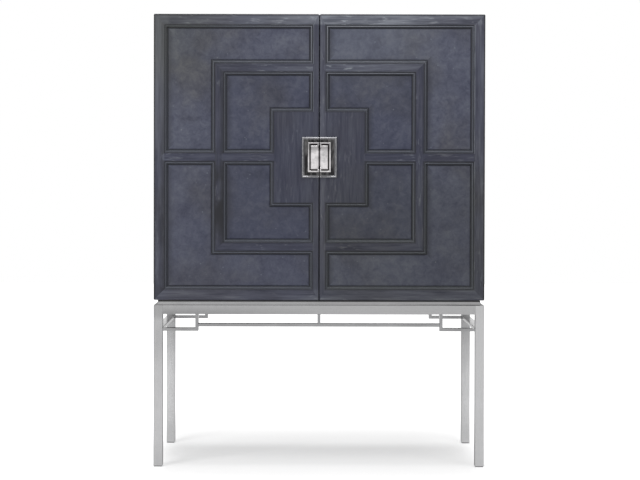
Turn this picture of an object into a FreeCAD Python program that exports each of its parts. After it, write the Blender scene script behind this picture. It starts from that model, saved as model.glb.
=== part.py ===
import FreeCAD, Part
import math
import os

# Bar cabinet on a stand of square tube, in millimetres.
# X runs to the right, Y to the back and Z up; the origin is on the floor under the middle.
cabinet_width = 1118.0
cabinet_depth = 508.0
cabinet_height = 1530.0
cut_overrun = 5.0

# Stand of square tube
stand_height = 547.0
tube_side = 30.0
tube_wall = 2.0
glide_height = 3.0
glide_inset = 1.5
glide_plug_height = 14.0

# Key fretwork of flat bar below the front and back rails
key_bar = 10.0
key_arm = 116.0
key_drop = 57.0
stretcher_drop = 32.0

# Spacer frame and dark reveal between the stand and the case
spacer_height = 12.0
spacer_inset = 13.0
spacer_width = 25.0
reveal_height = 3.5
reveal_inset = 13.0
reveal_width = 22.0
tab_leg = 60.0
tab_thickness = 4.0
bolt_radius = 3.0
bolt_clearance = 0.3
bolt_grip = 14.0
bolt_head_radius = 5.8
bolt_head_sides = 6
bolt_head_height = 4.0
bolt_place_share = 0.3

# Case boards
board = 22.0
back_thickness = 9.0
rabbet = 10.0
door_case_gap = 2.0
shelf_setback = 24.0
centre_shelf_share = 0.427
mirror_thickness = 4.0

# Loose shelves, on pins and on cleats
shelf_end_gap = 1.0
glass_thickness = 8.0
glass_depth = 200.0
glass_back_gap = 3.0
glass_shelf_share = 0.65
lower_shelf_thickness = 18.0
lower_shelf_share = 0.5
cleat_width = 9.0
cleat_height = 16.0
pin_radius = 2.5
pin_reach = 9.0
pin_place_shares = (0.15, 0.85)

# Stemware rails under the top
stem_rail_count = 5
stem_pitch = 100.0
stem_slot = 28.0
stem_web_width = 12.0
stem_web_height = 16.0
stem_flange_thickness = 7.0
stem_length = 200.0
stem_setback = 30.0

# Bottle grid of half-lapped boards
grid_columns = 4
grid_rows = 3
grid_board = 12.0
grid_depth = 320.0
grid_setback = 56.0

# Doors
split_gap = 3.0
door_foot_gap = 2.0
core_thickness = 17.0
face_thickness = 9.0
corner_radius = 4.0
arris_bevel = 1.8
border_width = 36.0
meeting_width = 20.0
ring_width = 28.0
cross_width = 28.0
ring_height_share = 0.677
ring_reach_share = 0.632
block_height_share = 0.346
block_reach_share = 0.265
leather_thickness = 3.0

# Bead and cove moulding round each leather panel
moulding_width = 11.5
quirk_width = 3.2
quirk_depth = 2.0
bead_radius = 2.0
bead_facets = 6
cove_step = 0.4
cove_facets = 3
lip_width = 0.8
lip_rise = 0.6

# Concealed pivot hinges
pivot_inset = 8.0
pivot_depth = 9.0
hinge_inset = 48.0
hinge_pin_radius = 2.5
hinge_pin_tail = 16.0
running_clearance = 0.05
arm_thickness = 3.0
arm_radius = 5.3
arm_root_width = 14.0
kerf_clearance = 0.5
kerf_end_clearance = 2.0
back_arris_cut = 4.0
leaf_thickness = 3.0
leaf_length = 44.0
leaf_height = 50.0
leaf_setback = 3.0

# Magnetic catches and their strikes
catch_width = 40.0
catch_depth = 15.0
catch_height = 12.0
catch_offset = 44.0
catch_proud = 0.3
strike_thickness = 1.4
strike_margin = 2.0

# Split pull: a rimmed plate, a raised pad and a swinging bail on each door
pull_width = 57.0
pull_height = 136.0
plate_thickness = 2.5
rim_width = 5.2
rim_height = 8.0
rim_bevel = 1.8
pad_width = 27.5
pad_height = 80.0
pad_projection = 11.0
pad_bevel = 2.6
pad_setback = 0.5
pad_notch_width = 4.0
pad_notch_height = 11.0
bail_width = 37.0
bail_height = 100.0
bail_bar = 5.0
bail_standoff = 4.0
bail_end_gap = 0.6
bail_bevel = 0.7
bail_pin_radius = 1.25
bail_pin_grip = 15.0

# Places worked out from the sizes above
half_width = cabinet_width / 2
face_y = (pad_projection - cabinet_depth) / 2
back_y = face_y + cabinet_depth
rail_low = stand_height - tube_side
spacer_top = stand_height + spacer_height
case_low = spacer_top + reveal_height
core_y = face_y + face_thickness
door_back = core_y + core_thickness
case_front = door_back + door_case_gap
inner_x = half_width - board
inner_low = case_low + board
inner_high = cabinet_height - board
inner_back = back_y - back_thickness
shelf_front = case_front + shelf_setback
shelf_low = inner_low + centre_shelf_share * (inner_high - inner_low)
shelf_high = shelf_low + board
mirror_front = inner_back - mirror_thickness
glass_back = mirror_front - glass_back_gap
glass_front = glass_back - glass_depth
glass_low = shelf_high + glass_shelf_share * (inner_high - shelf_high)
lower_shelf_low = inner_low + lower_shelf_share * (shelf_low - inner_low)

split_x = split_gap / 2
door_low = case_low + door_foot_gap
door_high = cabinet_height
door_middle = (door_low + door_high) / 2
meet_x = split_x + meeting_width
stile_x = half_width - border_width
field_half = (door_high - door_low) / 2 - border_width
ring_out = ring_height_share * field_half + ring_width / 2
ring_in = ring_out - ring_width
ring_out_x = meet_x + ring_reach_share * (stile_x - meet_x) + ring_width / 2
ring_in_x = ring_out_x - ring_width
block_half = block_height_share * field_half
block_x = meet_x + block_reach_share * (stile_x - meet_x)
cross_half = cross_width / 2

pivot_x = half_width - pivot_inset
pivot_y = door_back - pivot_depth
leaf_x = inner_x - leaf_thickness
arm_root_x = leaf_x - arm_root_width
leaf_front = case_front + leaf_setback
leaf_back = leaf_front + leaf_length
bail_axis_x = split_x + bail_bar / 2
bail_axis_y = face_y - bail_standoff - bail_bar / 2


def vec(x, y, z):
    return FreeCAD.Vector(x, y, z)


def block(x, y, z):
    """A box between the low and high ends of each axis."""
    return Part.makeBox(x[1] - x[0], y[1] - y[0], z[1] - z[0], vec(x[0], y[0], z[0]))


def prism(corners, travel):
    return Part.Face(Part.makePolygon(corners + corners[:1])).extrude(travel)


def elevation_prism(points, y_low, y_high):
    """An outline of (x, z) points carried along Y."""
    return prism([vec(x, y_low, z) for x, z in points], vec(0, y_high - y_low, 0))


def plan_prism(points, z_low, z_high):
    """An outline of (x, y) points carried along Z."""
    return prism([vec(x, y, z_low) for x, y in points], vec(0, 0, z_high - z_low))


def rod(radius, start, end):
    axis = end - start
    return Part.makeCylinder(radius, axis.Length, start, axis)


def polygon(radius, sides):
    """Corners of a regular polygon about the origin."""
    turns = [2 * math.pi * i / sides for i in range(sides)]
    return [(radius * math.cos(turn), radius * math.sin(turn)) for turn in turns]


def mirrored(shape):
    return shape.mirror(vec(0, 0, 0), vec(1, 0, 0))


def flipped(points):
    """The same outline below the middle of the door."""
    return [(x, -rise) for x, rise in points]


def counter_clockwise(points):
    following = points[1:] + points[:1]
    turn = sum(a[0] * b[1] - b[0] * a[1] for a, b in zip(points, following))
    return points if turn > 0 else points[::-1]


def inward_normal(start, end):
    """Unit normal on the left of a side of a counter-clockwise outline."""
    side = vec(end[0] - start[0], 0, end[1] - start[1]).normalize()
    return vec(-side.z, 0, side.x)


def inset_outline(points, distance):
    """A right-angled outline with every side moved inwards."""
    before = points[-1:] + points[:-1]
    after = points[1:] + points[:1]
    moved = []
    for last, here, following in zip(before, points, after):
        shift = (inward_normal(last, here) + inward_normal(here, following)) * distance
        moved.append((here[0] + shift.x, here[1] + shift.z))
    return moved


def mitred_ring(inset, width, z_low, z_high):
    """Four mitred bars that follow the stand's outline."""
    x_out = half_width - inset
    x_in = x_out - width
    front = face_y + inset
    back = back_y - inset
    outer = [(-x_out, front), (x_out, front), (x_out, back), (-x_out, back)]
    inner = [(-x_in, front + width), (x_in, front + width), (x_in, back - width), (-x_in, back - width)]
    bars = []
    for i in range(len(outer)):
        j = (i + 1) % len(outer)
        bars.append(plan_prism([outer[i], outer[j], inner[j], inner[i]], z_low, z_high))
    return bars


def tube_leg(x, y):
    """A square tube with a closed top and an open foot."""
    hollow_x = (x[0] + tube_wall, x[1] - tube_wall)
    hollow_y = (y[0] + tube_wall, y[1] - tube_wall)
    outside = block(x, y, (glide_height, stand_height))
    return outside.cut(block(hollow_x, hollow_y, (glide_height - cut_overrun, stand_height - tube_wall)))


def glide(x, y):
    """A foot pad with a plug that fills the mouth of the tube."""
    pad_x = (x[0] + glide_inset, x[1] - glide_inset)
    pad_y = (y[0] + glide_inset, y[1] - glide_inset)
    pad = block(pad_x, pad_y, (0, glide_height))
    plug_x = (x[0] + tube_wall, x[1] - tube_wall)
    plug_y = (y[0] + tube_wall, y[1] - tube_wall)
    plug = block(plug_x, plug_y, (glide_height, glide_height + glide_plug_height))
    return pad.fuse(plug).removeSplitter()


def key_fret(y_low):
    """Mitred hooks at the legs, a stretcher between them and a post in the middle."""
    leg_x = half_width - tube_side
    post_in = leg_x - key_arm - key_bar / 2
    post_out = post_in + key_bar
    bar_low = rail_low - key_drop
    bar_high = bar_low + key_bar
    y_high = y_low + tube_side
    arm = [(leg_x, bar_low), (post_in, bar_low), (post_out, bar_high), (leg_x, bar_high)]
    post = [(post_in, bar_low), (post_out, bar_high), (post_out, rail_low), (post_in, rail_low)]
    hook = [elevation_prism(arm, y_low, y_high), elevation_prism(post, y_low, y_high)]
    stretcher_high = rail_low - stretcher_drop
    stretcher_z = (stretcher_high - key_bar, stretcher_high)
    middle = [
        block((-post_in, post_in), (y_low, y_high), stretcher_z),
        block((-key_bar / 2, key_bar / 2), (y_low, y_high), (stretcher_high, rail_low)),
    ]
    return Part.makeCompound(hook + [mirrored(bar) for bar in hook] + middle)


def stand_parts():
    nodes = {}
    leg_x = {"left": (-half_width, tube_side - half_width), "right": (half_width - tube_side, half_width)}
    leg_y = {"front": (face_y, face_y + tube_side), "back": (back_y - tube_side, back_y)}
    rail_z = (rail_low, stand_height)
    hollow_z = (rail_low + tube_wall, stand_height - tube_wall)
    span_x = (leg_x["left"][1], leg_x["right"][0])
    span_y = (leg_y["front"][1], leg_y["back"][0])
    bar_low = rail_low - key_drop
    glides = []
    for end, y in leg_y.items():
        hollow_y = (y[0] + tube_wall, y[1] - tube_wall)
        nodes["rail_" + end] = block(span_x, y, rail_z).cut(block(span_x, hollow_y, hollow_z))
        nodes["fret_" + end] = key_fret(y[0])
        for side, x in leg_x.items():
            nodes["leg_" + end + "_" + side] = tube_leg(x, y)
            glides.append(glide(x, y))
    for side, x in leg_x.items():
        hollow_x = (x[0] + tube_wall, x[1] - tube_wall)
        nodes["rail_" + side] = block(x, span_y, rail_z).cut(block(hollow_x, span_y, hollow_z))
        nodes["side_stretcher_" + side] = block(x, span_y, (bar_low, bar_low + key_bar))
    nodes["foot_glides"] = Part.makeCompound(glides)
    return nodes


def bolt_places():
    """The corners of the spacer's inside and a bolt centre in each."""
    corner_x = half_width - spacer_inset - spacer_width
    corners_y = {1: face_y + spacer_inset + spacer_width, -1: back_y - spacer_inset - spacer_width}
    step = tab_leg * bolt_place_share
    places = []
    for toward_x in (1, -1):
        for toward_y, corner_y in corners_y.items():
            corner = (-toward_x * corner_x, corner_y)
            centre = (corner[0] + toward_x * step, corner_y + toward_y * step)
            places.append((corner, (toward_x, toward_y), centre))
    return places


def spacer_parts():
    tabs = []
    bolts = []
    tab_low = spacer_top - tab_thickness
    for corner, toward, centre in bolt_places():
        tip_x = corner[0] + toward[0] * tab_leg
        tip_y = corner[1] + toward[1] * tab_leg
        low = vec(centre[0], centre[1], tab_low)
        top = vec(centre[0], centre[1], spacer_top)
        tab = plan_prism([corner, (tip_x, corner[1]), (corner[0], tip_y)], tab_low, spacer_top)
        tabs.append(tab.cut(rod(bolt_radius + bolt_clearance, low, top)))
        shank = rod(bolt_radius, low, vec(centre[0], centre[1], case_low + bolt_grip))
        outline = [(centre[0] + x, centre[1] + y) for x, y in polygon(bolt_head_radius, bolt_head_sides)]
        bolts.append(shank.fuse(plan_prism(outline, tab_low - bolt_head_height, tab_low)))
    spacer = mitred_ring(spacer_inset, spacer_width, stand_height, spacer_top)
    reveal = mitred_ring(reveal_inset, reveal_width, spacer_top, case_low)
    return {
        "spacer_frame": Part.makeCompound(spacer),
        "reveal_strips": Part.makeCompound(reveal),
        "mounting_tabs": Part.makeCompound(tabs),
        "case_bolts": Part.makeCompound(bolts),
    }


def pin_rows(shelf_y, shelf_z):
    """Pin centres in use under a shelf, as (y, z)."""
    depth = shelf_y[1] - shelf_y[0]
    return [(shelf_y[0] + share * depth, shelf_z - pin_radius) for share in pin_place_shares]


def pin_holes(x_mouth, x_end, rows):
    return [rod(pin_radius + running_clearance, vec(x_mouth, y, z), vec(x_end, y, z)) for y, z in rows]


glass_rows = pin_rows((glass_front, glass_back), glass_low)


def case_parts():
    """Four mitred boards, a back let into their rabbets and the fixed shelves."""
    corners = [
        (-half_width, case_low),
        (half_width, case_low),
        (half_width, cabinet_height),
        (-half_width, cabinet_height),
    ]
    inside = inset_outline(corners, board)
    names = ("case_bottom", "case_side_right", "case_top", "case_side_left")
    panel_x = (-inner_x - rabbet, inner_x + rabbet)
    panel_z = (inner_low - rabbet, inner_high + rabbet)
    nodes = {}
    for i, name in enumerate(names):
        j = (i + 1) % len(names)
        side = elevation_prism([corners[i], corners[j], inside[j], inside[i]], case_front, back_y)
        nodes[name] = side.cut(block(panel_x, (inner_back, back_y + cut_overrun), panel_z))
    hole_end = inner_x + pin_reach
    nodes["case_side_right"] = nodes["case_side_right"].cut(pin_holes(inner_x, hole_end, glass_rows))
    nodes["case_side_left"] = nodes["case_side_left"].cut(pin_holes(-hole_end, -inner_x, glass_rows))
    sockets = []
    for _, _, centre in bolt_places():
        low = vec(centre[0], centre[1], case_low)
        sockets.append(rod(bolt_radius + running_clearance, low, low + vec(0, 0, bolt_grip)))
    nodes["case_bottom"] = nodes["case_bottom"].cut(sockets)
    nodes["case_back"] = block(panel_x, (inner_back, back_y), panel_z)
    shelf_y = (shelf_front, inner_back)
    nodes["centre_shelf"] = block((-inner_x, inner_x), shelf_y, (shelf_low, shelf_high))
    nodes["lower_divider"] = block((-board / 2, board / 2), shelf_y, (inner_low, shelf_low))
    nodes["mirror_panel"] = block((-inner_x, inner_x), (mirror_front, inner_back), (shelf_high, inner_high))
    return nodes


def shelf_parts():
    """A glass shelf on four pins and a wooden one on two cleats."""
    glass_x = inner_x - shelf_end_gap
    glass_z = (glass_low, glass_low + glass_thickness)
    lower_x = (board / 2 + shelf_end_gap, inner_x - shelf_end_gap)
    lower_z = (lower_shelf_low, lower_shelf_low + lower_shelf_thickness)
    pins = []
    for y, z in glass_rows:
        pin = rod(pin_radius, vec(inner_x - pin_reach, y, z), vec(inner_x + pin_reach, y, z))
        pins += [pin, mirrored(pin)]
    cleats = []
    cleat_z = (lower_shelf_low - cleat_height, lower_shelf_low)
    for cleat_x in ((board / 2, board / 2 + cleat_width), (inner_x - cleat_width, inner_x)):
        cleats.append(block(cleat_x, (shelf_front, inner_back), cleat_z))
    return {
        "glass_shelf": block((-glass_x, glass_x), (glass_front, glass_back), glass_z),
        "lower_shelf": block(lower_x, (shelf_front, inner_back), lower_z),
        "shelf_cleats": Part.makeCompound(cleats),
        "shelf_pins": Part.makeCompound(pins),
    }


def stemware_parts():
    """Rails that hold glasses by the foot: a web under the top and a flange under each web."""
    rail_y = (case_front + stem_setback, case_front + stem_setback + stem_length)
    web_low = inner_high - stem_web_height
    flange_half = (stem_pitch - stem_slot) / 2
    webs = []
    flanges = []
    for i in range(stem_rail_count):
        x = (i - (stem_rail_count - 1) / 2) * stem_pitch
        webs.append(block((x - stem_web_width / 2, x + stem_web_width / 2), rail_y, (web_low, inner_high)))
        outline = [(x - flange_half, web_low), (x + flange_half, web_low)]
        lip = flange_half - stem_flange_thickness / 2
        outline += [(x + lip, web_low - stem_flange_thickness), (x - lip, web_low - stem_flange_thickness)]
        flanges.append(elevation_prism(outline, *rail_y))
    return {"stemware_rails": Part.makeCompound(webs + flanges)}


def grid_places(low, high, count):
    """Centres of the boards that divide a bay into equal cells."""
    return [low + (high - low) * i / count for i in range(1, count)]


def bottle_grid_parts():
    """Uprights slotted from the front and shelves slotted from the back."""
    bay_x = (-inner_x, -board / 2)
    bay_z = (inner_low, shelf_low)
    front = case_front + grid_setback
    back = front + grid_depth
    middle = (front + back) / 2
    half = grid_board / 2
    columns = grid_places(*bay_x, grid_columns)
    rows = grid_places(*bay_z, grid_rows)
    uprights = []
    for x in columns:
        upright = block((x - half, x + half), (front, back), bay_z)
        slots = [block((x - half, x + half), (front, middle), (z - half, z + half)) for z in rows]
        uprights.append(upright.cut(slots))
    shelves = []
    for z in rows:
        shelf = block(bay_x, (front, back), (z - half, z + half))
        slots = [block((x - half, x + half), (middle, back), (z - half, z + half)) for x in columns]
        shelves.append(shelf.cut(slots))
    return {
        "bottle_grid_uprights": Part.makeCompound(uprights),
        "bottle_grid_shelves": Part.makeCompound(shelves),
    }


def catch_bodies():
    """Magnetic catches under the top and on the floor of the case, two for each door."""
    catch_y = (case_front - catch_proud, case_front + catch_depth)
    bodies = []
    for z in ((inner_high - catch_height, inner_high), (inner_low, inner_low + catch_height)):
        body = block((catch_offset - catch_width / 2, catch_offset + catch_width / 2), catch_y, z)
        bodies += [body, mirrored(body)]
    return Part.makeCompound(bodies)


def hinge_arms():
    """Bent brackets, two for each door: a leaf on the case side and an arm into the door's kerf."""
    arm_back = pivot_y + arm_radius
    arm_front = pivot_y - arm_radius
    heel = arm_root_x + arm_radius
    outline = [
        (leaf_x, leaf_back),
        (arm_root_x, leaf_back),
        (arm_root_x, arm_back),
        (heel, arm_front),
        (pivot_x, arm_front),
        (pivot_x, arm_back),
        (leaf_x, arm_back),
    ]
    arms = []
    for z in (door_low + hinge_inset, door_high - hinge_inset):
        low = z - arm_thickness / 2
        high = z + arm_thickness / 2
        foot = vec(pivot_x, pivot_y, low)
        head = vec(pivot_x, pivot_y, high)
        knuckle = rod(arm_radius, foot, head)
        leaf = block((leaf_x, inner_x), (leaf_front, leaf_back), (z - leaf_height / 2, z + leaf_height / 2))
        arm = plan_prism(outline, low, high).fuse([knuckle, leaf]).removeSplitter()
        bracket = arm.cut(rod(hinge_pin_radius + running_clearance, foot, head))
        arms += [bracket, mirrored(bracket)]
    return Part.makeCompound(arms)


def hinge_pin_spans():
    """The (low, high) heights of the pins at the foot and the head of a door."""
    foot = (door_low, door_low + hinge_inset + hinge_pin_tail)
    head = (door_high - hinge_inset - hinge_pin_tail, door_high)
    return (foot, head)


def door_blank(y_low, y_high):
    """The door's outline with rounded corners, between two depths."""
    slab = block((split_x, half_width), (y_low, y_high), (door_low, door_high))
    upright = [edge for edge in slab.Edges if edge.BoundBox.YLength > 0]
    return slab.makeFillet(corner_radius, upright)


def door_core():
    core = door_blank(core_y, door_back)
    wedge = [
        (half_width - back_arris_cut, door_back),
        (half_width, door_back - back_arris_cut),
        (half_width + back_arris_cut, door_back + back_arris_cut),
    ]
    cuts = [plan_prism(wedge, door_low - cut_overrun, door_high + cut_overrun)]
    kerf_x = (arm_root_x - kerf_end_clearance, half_width + cut_overrun)
    kerf_y = (pivot_y - arm_radius - kerf_clearance, door_back + cut_overrun)
    kerf_half = arm_thickness / 2 + kerf_clearance
    for z in (door_low + hinge_inset, door_high - hinge_inset):
        cuts.append(block(kerf_x, kerf_y, (z - kerf_half, z + kerf_half)))
    for low, high in hinge_pin_spans():
        foot = vec(pivot_x, pivot_y, low)
        head = vec(pivot_x, pivot_y, high)
        cuts.append(rod(hinge_pin_radius + running_clearance, foot, head))
    return core.cut(cuts)


def door_pins():
    pins = []
    for low, high in hinge_pin_spans():
        pins.append(rod(hinge_pin_radius, vec(pivot_x, pivot_y, low), vec(pivot_x, pivot_y, high)))
    return Part.makeCompound(pins)


def raised(points):
    """Door points given as a rise above the door's middle, turned into heights."""
    return [(x, door_middle + rise) for x, rise in points]


def door_border():
    """Four strips mitred from a blank with a bevelled arris."""
    blank = door_blank(face_y, core_y)
    front = [edge for edge in blank.Edges if edge.BoundBox.YMax < face_y + arris_bevel]
    blank = blank.makeChamfer(arris_bevel, front)
    outer = [(split_x, door_low), (half_width, door_low), (half_width, door_high), (split_x, door_high)]
    foot = [(meet_x, -field_half), (stile_x, -field_half)]
    inner = raised(foot + flipped(foot)[::-1])
    strips = []
    for i in range(len(outer)):
        j = (i + 1) % len(outer)
        cutter = elevation_prism([outer[i], outer[j], inner[j], inner[i]], face_y, core_y)
        strips.append(blank.common(cutter))
    return Part.makeCompound(strips)


def door_fret():
    """The half ring, mitred at its corners, and the cross strips that tie it to block and stile."""
    top = [(meet_x, ring_in), (ring_in_x, ring_in), (ring_out_x, ring_out), (meet_x, ring_out)]
    side = [(ring_in_x, -ring_in), (ring_out_x, -ring_out), (ring_out_x, ring_out), (ring_in_x, ring_in)]
    strips = [top, flipped(top), side]
    for near, far in ((block_x, ring_in_x), (ring_out_x, stile_x)):
        strips.append([(near, -cross_half), (far, -cross_half), (far, cross_half), (near, cross_half)])
    return Part.makeCompound([elevation_prism(raised(strip), face_y, core_y) for strip in strips])


def centre_block():
    rise = (door_middle - block_half, door_middle + block_half)
    return block((meet_x, block_x), (face_y, core_y), rise)


def panel_openings():
    """The L-shaped openings of the right door, an upper and a lower one outside and inside the ring."""
    outer = [
        (meet_x, ring_out),
        (meet_x, field_half),
        (stile_x, field_half),
        (stile_x, cross_half),
        (ring_out_x, cross_half),
        (ring_out_x, ring_out),
    ]
    inner = [
        (meet_x, block_half),
        (meet_x, ring_in),
        (ring_in_x, ring_in),
        (ring_in_x, cross_half),
        (block_x, cross_half),
        (block_x, block_half),
    ]
    openings = {}
    for name, points in (("outer", outer), ("inner", inner)):
        openings[name] = [counter_clockwise(raised(half)) for half in (points, flipped(points))]
    return openings


def moulding_profile():
    """The bead and cove section as (distance from the frame, height above the core)."""
    quirk = face_thickness - quirk_depth
    bead_middle = quirk_width + bead_radius
    cove_start = bead_middle + bead_radius + cove_step
    cove_end = moulding_width - lip_width
    lip_high = leather_thickness + lip_rise
    points = [(0, 0), (0, quirk)]
    for i in range(bead_facets + 1):
        turn = math.pi * (1 - i / bead_facets)
        points.append((bead_middle + bead_radius * math.cos(turn), quirk + bead_radius * math.sin(turn)))
    for i in range(cove_facets + 1):
        turn = math.pi / 2 * i / cove_facets
        along = cove_end - (cove_end - cove_start) * math.cos(turn)
        points.append((along, quirk - (quirk - lip_high) * math.sin(turn)))
    return points + [(moulding_width, lip_high), (moulding_width, 0)]


def moulding_loop(outline):
    """One mitred strip for each side of an opening."""
    inner = inset_outline(outline, moulding_width)
    strips = []
    for i, start in enumerate(outline):
        j = (i + 1) % len(outline)
        end = outline[j]
        along = vec(end[0] - start[0], 0, end[1] - start[1])
        overrun = along.normalize() * moulding_width
        first = vec(start[0], core_y, start[1]) - overrun
        travel = vec(end[0] - start[0], 0, end[1] - start[1]) + overrun * 2
        inward = inward_normal(start, end)
        section = [first + inward * away - vec(0, height, 0) for away, height in moulding_profile()]
        bar = prism(section, travel)
        cutter = elevation_prism([start, end, inner[j], inner[i]], face_y - bead_radius, core_y)
        strips.append(bar.common(cutter))
    return strips


def strike_plates():
    half = catch_width / 2 - strike_margin
    plate_x = (catch_offset - half, catch_offset + half)
    plate_y = (door_back, door_back + strike_thickness)
    plates = []
    for low in (inner_high - catch_height, inner_low):
        plates.append(block(plate_x, plate_y, (low + strike_margin, low + catch_height - strike_margin)))
    return Part.makeCompound(plates)


def front_edges(shape, y):
    """Edges on the front plane of a pull piece, apart from those along the split."""
    chosen = []
    for edge in shape.Edges:
        box = edge.BoundBox
        on_front = abs(box.YMax - y) < running_clearance and box.YLength < running_clearance
        if on_front and box.XMax > split_x + running_clearance:
            chosen.append(edge)
    return chosen


def pull_plate():
    """Half of a square plate with a bevelled rim on its three outer sides."""
    rim_y = face_y - rim_height
    span = (door_middle - pull_height / 2, door_middle + pull_height / 2)
    plate = block((split_x, split_x + pull_width), (rim_y, face_y), span)
    pocket_x = (split_x - cut_overrun, split_x + pull_width - rim_width)
    pocket_z = (span[0] + rim_width, span[1] - rim_width)
    plate = plate.cut(block(pocket_x, (rim_y - cut_overrun, face_y - plate_thickness), pocket_z))
    return plate.makeChamfer(rim_bevel, front_edges(plate, rim_y))


def bail_pin_ends():
    """The inner and outer heights of the bail's upper pin above the door's middle."""
    return (pad_height / 2 - bail_pin_grip, bail_height / 2 - bail_bar / 2)


def pull_pad():
    """A raised block with bevelled edges, cut back at the bail's ends, and a socket for each of its pins."""
    pad_y = face_y - pad_projection
    near = split_x + pad_setback
    far = split_x + pad_width
    top = pad_height / 2
    upper = [(near, top - pad_notch_height), (near + pad_notch_width, top), (far, top)]
    pad = elevation_prism(raised(upper + flipped(upper)[::-1]), pad_y, face_y - plate_thickness)
    pad = pad.makeChamfer(pad_bevel, front_edges(pad, pad_y))
    sockets = []
    for sign in (-1, 1):
        inner = vec(bail_axis_x, bail_axis_y, door_middle + sign * bail_pin_ends()[0])
        mouth = vec(bail_axis_x, bail_axis_y, door_middle + sign * pad_height / 2)
        sockets.append(rod(bail_pin_radius + running_clearance, inner, mouth))
    return pad.cut(sockets)


def bail_pins():
    pins = []
    for sign in (-1, 1):
        inner, outer = [vec(bail_axis_x, bail_axis_y, door_middle + sign * end) for end in bail_pin_ends()]
        pins.append(rod(bail_pin_radius, inner, outer))
    return Part.makeCompound(pins)


def bail():
    """A square-cornered bow whose ends turn in to the pad."""
    reach = split_x + bail_width
    top = bail_height / 2
    end = pad_height / 2 + bail_end_gap
    upper = [
        (split_x, end),
        (split_x + bail_bar, end),
        (split_x + bail_bar, top - bail_bar),
        (reach - bail_bar, top - bail_bar),
    ]
    outline = upper + flipped(upper)[::-1] + [(split_x, -top), (reach, -top), (reach, top), (split_x, top)]
    front = face_y - bail_standoff - bail_bar
    bow = elevation_prism(raised(outline), front, front + bail_bar)
    edges = [edge for edge in bow.Edges if edge.BoundBox.YMax < front + bail_bevel]
    bow = bow.makeChamfer(bail_bevel, edges)
    holes = []
    for sign in (-1, 1):
        low = door_middle + sign * end
        high = door_middle + sign * bail_pin_ends()[1]
        start = vec(bail_axis_x, bail_axis_y, low)
        holes.append(rod(bail_pin_radius + running_clearance, start, vec(bail_axis_x, bail_axis_y, high)))
    return bow.cut(holes)


def right_door_parts():
    mouldings = []
    nodes = {}
    for name, outlines in panel_openings().items():
        panels = []
        for outline in outlines:
            mouldings += moulding_loop(outline)
            panel = inset_outline(outline, moulding_width)
            panels.append(elevation_prism(panel, core_y - leather_thickness, core_y))
        nodes["leather_" + name] = Part.makeCompound(panels)
    nodes["door_core"] = door_core()
    nodes["door_border"] = door_border()
    nodes["door_fret"] = door_fret()
    nodes["centre_block"] = centre_block()
    nodes["panel_mouldings"] = Part.makeCompound(mouldings)
    nodes["hinge_pins"] = door_pins()
    nodes["strike_plates"] = strike_plates()
    nodes["pull_plate"] = pull_plate()
    nodes["pull_pad"] = pull_pad()
    nodes["bail"] = bail()
    nodes["bail_pins"] = bail_pins()
    return nodes


def cabinet_nodes():
    nodes = {}
    nodes.update(stand_parts())
    nodes.update(spacer_parts())
    nodes.update(case_parts())
    nodes.update(shelf_parts())
    nodes.update(stemware_parts())
    nodes.update(bottle_grid_parts())
    nodes["door_catches"] = catch_bodies()
    nodes["hinge_arms"] = hinge_arms()
    for name, shape in right_door_parts().items():
        nodes[name + "_right"] = shape
        nodes[name + "_left"] = mirrored(shape)
    return nodes


def main():
    os.makedirs("parts", exist_ok=True)
    for name, shape in cabinet_nodes().items():
        shape.exportStep("parts/" + name + ".step")


if __name__ == "__main__":
    main()
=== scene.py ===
import functools
import math

import bmesh
import bpy
from mathutils import Matrix, Vector


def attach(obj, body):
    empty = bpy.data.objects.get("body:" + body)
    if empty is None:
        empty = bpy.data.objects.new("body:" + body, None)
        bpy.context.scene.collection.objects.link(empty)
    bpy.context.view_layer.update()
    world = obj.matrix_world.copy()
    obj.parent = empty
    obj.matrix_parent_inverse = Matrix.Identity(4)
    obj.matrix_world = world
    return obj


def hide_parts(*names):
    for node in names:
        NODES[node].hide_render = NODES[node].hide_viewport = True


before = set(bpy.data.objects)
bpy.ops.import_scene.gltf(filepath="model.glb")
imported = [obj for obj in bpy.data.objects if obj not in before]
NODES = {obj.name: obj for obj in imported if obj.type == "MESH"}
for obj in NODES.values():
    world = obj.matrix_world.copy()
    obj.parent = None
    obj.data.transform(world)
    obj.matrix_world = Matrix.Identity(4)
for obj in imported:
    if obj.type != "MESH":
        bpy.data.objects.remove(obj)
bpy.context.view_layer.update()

SIDES = {"left": -1, "right": 1}
scene = bpy.context.scene

# Door layout as the doors are built, in metres: |x| from the middle of the cabinet,
# |z| from the middle of the door
HALF_WIDTH = 0.559
DOOR_MIDDLE = 1.04725
DOOR_HALF = 0.48275
SPLIT = 0.0015
FACE_Y = -0.2485
CORE_Y = -0.2395
MEET = 0.0215
STILE = 0.523
FIELD = 0.44675
RING_OUT, RING_IN = 0.31645, 0.28845
RING_OUT_X, RING_IN_X = 0.35245, 0.32445
BLOCK, BLOCK_X = 0.1546, 0.1544
CROSS = 0.014
MITRE_SLOPE = (DOOR_HALF - FIELD) / (MEET - SPLIT)
MOULDING = 0.0115
MOULDING_HIGH = 0.009
LEATHER_THICK = 0.003
BAIL_X, BAIL_Z = 0.0385, 0.05
PULL_X, PULL_Z, PULL_RIM = 0.0585, 0.068, 0.0052

# Zones of the finish, in metres. Each has a span in x and a span in z, and each span runs from
# where the zone begins to where it is full.
FADED_CORNER = (-0.25, -0.5), (1.2, 1.45)
FADED_LOW = (-0.08, 0.08), (1.08, 0.9)
LEFT_STAIN = (-0.1, -0.3), (1.2, 0.85)
RIGHT_STAIN = (0.45, 0.5), (1.3, 1.05)
RING_STAIN_TOP = (-0.25, -0.3), (1.12, 1.03)
RING_STAIN_FOOT = (-0.45, -0.4), (0.76, 0.86)
PALE_BOARD = (-0.5, -0.52), (1.0, 1.25)
# The bright metal zone is a painted reflection
BRIGHT_REFLECTION_ZONE = (-0.5, 0.15), (0.05, 0.47)
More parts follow.
